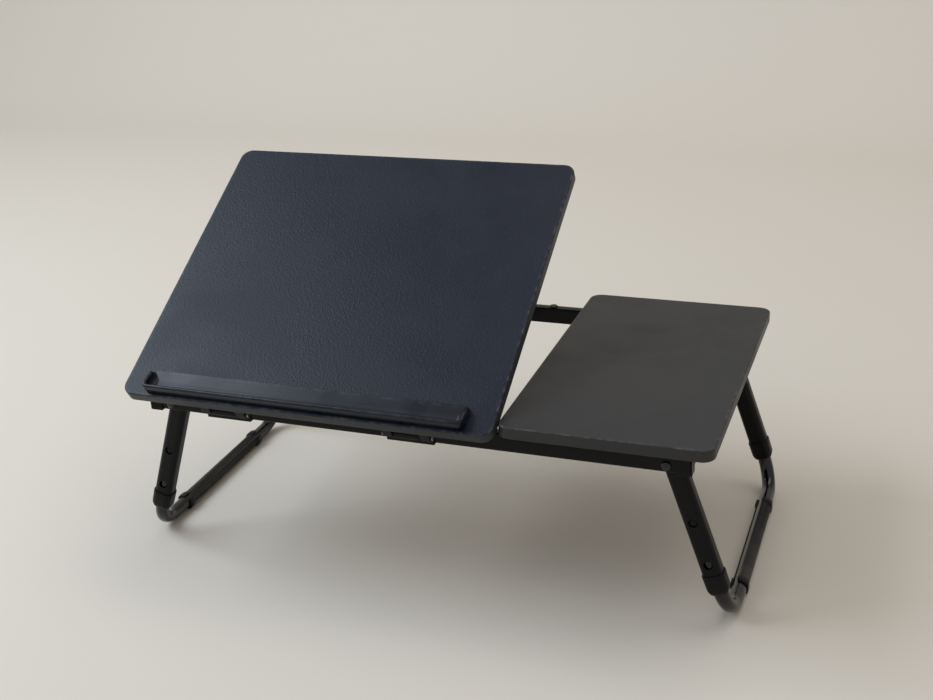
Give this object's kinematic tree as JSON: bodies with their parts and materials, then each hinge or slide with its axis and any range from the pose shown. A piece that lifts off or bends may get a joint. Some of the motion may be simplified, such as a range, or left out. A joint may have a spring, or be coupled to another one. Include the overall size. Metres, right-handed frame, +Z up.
{
  "type": "folding tray table",
  "caption": "Low folding tray table with a tilting book panel and stop, a fixed side panel and two splayed folding leg sets with sliding U-shaped feet.",
  "frame": {"origin": "middle of the whole outline on the floor, with the panel tilted and the legs splayed", "axes": "+X to the right along the table, towards the fixed side panel; +Y away from the user; +Z up"},
  "size_m": [0.6716, 0.3738, 0.3831],
  "materials": {
    "laminate_board": "fine leather-grain black laminate on board",
    "black_paint": "satin black powder coat on thin steel",
    "gloss_black_paint": "gloss black paint on bent steel tube",
    "bare_steel": "bare zinc-plated steel",
    "black_plastic": "satin black moulded plastic",
    "black_rubber": "matt black soft plastic"
  },
  "bodies": {
    "frame": {"front_rail": "black_paint", "front_side_panel_spacer": "black_rubber", "left_end_crossbar": "black_paint", "left_front_corner_bracket": "black_plastic", "left_front_pivot_pin": "black_paint", "left_front_rail_end_plug": "black_plastic", "left_hinge_base": "black_plastic", "left_hinge_pin": "bare_steel", "left_rear_corner_bracket": "black_plastic", "left_rear_pivot_pin": "black_paint", "left_rear_rail_end_plug": "black_plastic", "left_rest_pad": "black_rubber", "rear_rail": "black_paint", "rear_side_panel_spacer": "black_rubber", "right_end_crossbar": "black_paint", "right_front_corner_bracket": "black_plastic", "right_front_pivot_pin": "black_paint", "right_front_rail_end_plug": "black_plastic", "right_hinge_base": "black_plastic", "right_hinge_pin": "bare_steel", "right_rear_corner_bracket": "black_plastic", "right_rear_pivot_pin": "black_paint", "right_rear_rail_end_plug": "black_plastic", "right_rest_pad": "black_rubber", "side_panel": "laminate_board", "tilt_channel": "black_paint", "tilt_rack": "black_plastic"},
    "tilt_panel": {"tilting_panel": "laminate_board", "book_stop_ledge": "black_plastic", "left_hinge_leaf": "black_plastic", "right_hinge_leaf": "black_plastic", "left_stay_clip": "black_plastic", "right_stay_clip": "black_plastic"},
    "stay": {"tilt_stay_arm": "black_paint", "stay_pivot_rod": "bare_steel", "stay_foot_rod": "bare_steel"},
    "left_leg": {"left_front_leg_tube": "black_paint", "left_front_leg_head": "black_plastic", "left_front_collar": "black_plastic", "left_rear_leg_tube": "black_paint", "left_rear_leg_head": "black_plastic", "left_rear_collar": "black_plastic"},
    "left_foot": {"left_foot_tube": "gloss_black_paint", "left_foot_sleeve": "black_rubber"},
    "left_front_button": {"left_front_button": "black_plastic", "left_front_button_spring": "bare_steel"},
    "left_rear_button": {"left_rear_button": "black_plastic", "left_rear_button_spring": "bare_steel"},
    "right_leg": {"right_front_leg_tube": "black_paint", "right_front_leg_head": "black_plastic", "right_front_collar": "black_plastic", "right_rear_leg_tube": "black_paint", "right_rear_leg_head": "black_plastic", "right_rear_collar": "black_plastic"},
    "right_foot": {"right_foot_tube": "gloss_black_paint", "right_foot_sleeve": "black_rubber"},
    "right_front_button": {"right_front_button": "black_plastic", "right_front_button_spring": "bare_steel"},
    "right_rear_button": {"right_rear_button": "black_plastic", "right_rear_button_spring": "bare_steel"}
  },
  "joints": [
    {"name": "panel_tilt", "type": "hinge", "parent": "frame", "child": "tilt_panel", "pos_m": [0, -0.16663, 0.186], "axis": [1, 0, 0], "range_deg": [-30, 10]},
    {"name": "stay_swing", "type": "hinge", "parent": "tilt_panel", "child": "stay", "pos_m": [0, -0.03223, 0.27283], "axis": [1, 0, 0], "range_deg": [-20, 60]},
    {"name": "left_leg_fold", "type": "hinge", "parent": "frame", "child": "left_leg", "pos_m": [-0.267, 0.00687, 0.184], "axis": [0, -1, 0], "range_deg": [0, 108.9]},
    {"name": "left_foot_slide", "type": "slide", "parent": "left_leg", "child": "left_foot", "axis": [-0.3239, 0, -0.9461], "range_m": [0, 0.0474]},
    {"name": "left_front_button_press", "type": "slide", "parent": "left_foot", "child": "left_front_button", "axis": [0, 1, 0], "range_m": [0, 0.0012], "stiffness_N_per_m": 1500, "springref_m": -0.001},
    {"name": "left_rear_button_press", "type": "slide", "parent": "left_foot", "child": "left_rear_button", "axis": [0, -1, 0], "range_m": [0, 0.0012], "stiffness_N_per_m": 1500, "springref_m": -0.001},
    {"name": "right_leg_fold", "type": "hinge", "parent": "frame", "child": "right_leg", "pos_m": [0.267, 0.00687, 0.184], "axis": [0, 1, 0], "range_deg": [0, 108.9]},
    {"name": "right_foot_slide", "type": "slide", "parent": "right_leg", "child": "right_foot", "axis": [0.3239, 0, -0.9461], "range_m": [0, 0.0474]},
    {"name": "right_front_button_press", "type": "slide", "parent": "right_foot", "child": "right_front_button", "axis": [0, 1, 0], "range_m": [0, 0.0012], "stiffness_N_per_m": 1500, "springref_m": -0.001},
    {"name": "right_rear_button_press", "type": "slide", "parent": "right_foot", "child": "right_rear_button", "axis": [0, -1, 0], "range_m": [0, 0.0012], "stiffness_N_per_m": 1500, "springref_m": -0.001}
  ],
  "couplings": [
    {"joint": "stay_swing", "follows": "panel_tilt", "ratio": -2}
  ]
}
